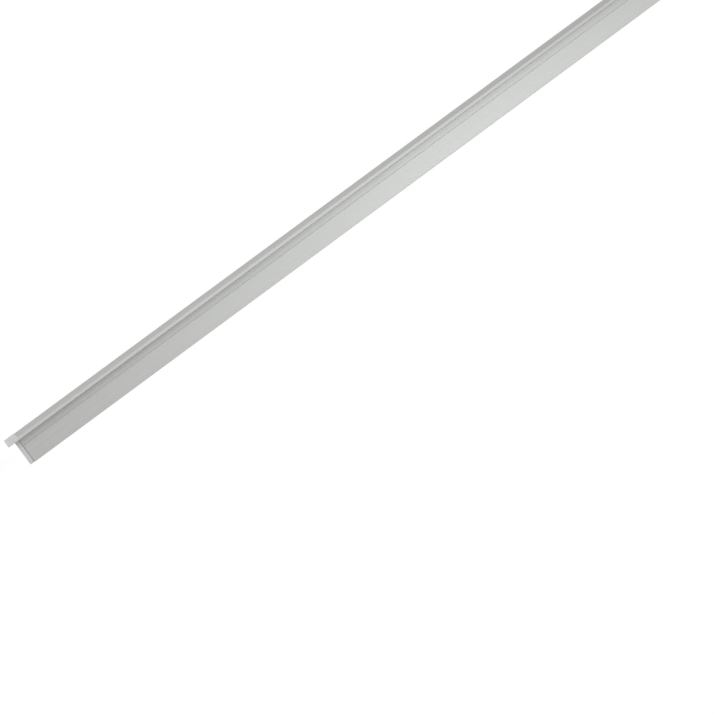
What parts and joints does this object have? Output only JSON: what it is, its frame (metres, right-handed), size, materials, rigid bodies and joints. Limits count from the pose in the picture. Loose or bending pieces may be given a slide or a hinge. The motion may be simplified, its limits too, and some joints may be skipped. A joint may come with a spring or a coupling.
{
  "type": "led channel",
  "caption": "Straight aluminium U channel with a flange along each top edge, closed by flanged end caps, that recesses an LED strip into a panel.",
  "frame": {"origin": "middle of the channel's back, halfway along it, on the level it rests on", "axes": "+X along the channel, +Y across it, +Z out of its open side"},
  "size_m": [0.5052, 0.016, 0.0071],
  "materials": {
    "anodised_aluminium": "satin anodised",
    "cap_plastic": "fine satin moulding"
  },
  "bodies": {
    "root": {"channel": "anodised_aluminium", "end_cap_left": "cap_plastic", "end_cap_right": "cap_plastic"}
  },
  "joints": []
}
